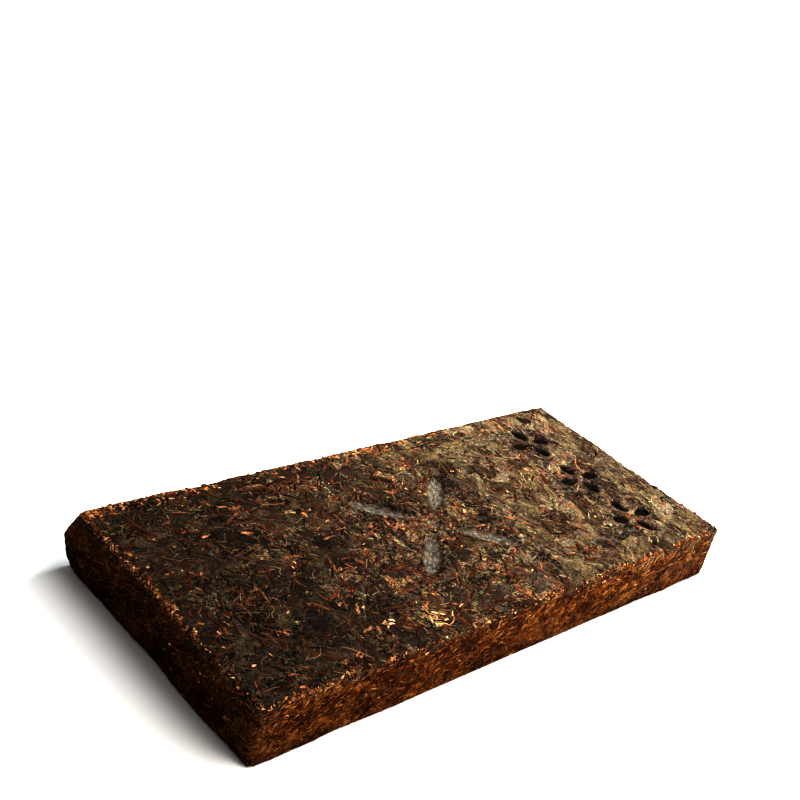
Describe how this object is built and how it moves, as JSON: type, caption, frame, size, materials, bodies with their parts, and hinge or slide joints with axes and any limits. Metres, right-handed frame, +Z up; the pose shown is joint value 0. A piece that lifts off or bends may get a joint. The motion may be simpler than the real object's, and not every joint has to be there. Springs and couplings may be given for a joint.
{
  "type": "tea brick",
  "caption": "Oblong slab of pressed dark tea leaf and stalk with crumbly edges and a petal rosette sunk into its top, broken up to brew.",
  "frame": {"origin": "centre of the resting face, on the bottom of the slab", "axes": "+X along the slab's length towards the end with the florets, +Y across its width, +Z up out of the pressed top face"},
  "size_m": [0.35, 0.1564, 0.0338],
  "materials": {
    "pressed_leaf": "dark olive-brown pressed leaf, matt with a faint sheen where the press rubbed it",
    "stalk": "red-brown dry stalk, matt",
    "straw": "pale dry fibre and crumb, matt"
  },
  "bodies": {
    "root": {"tea_brick": "pressed_leaf"}
  },
  "joints": []
}
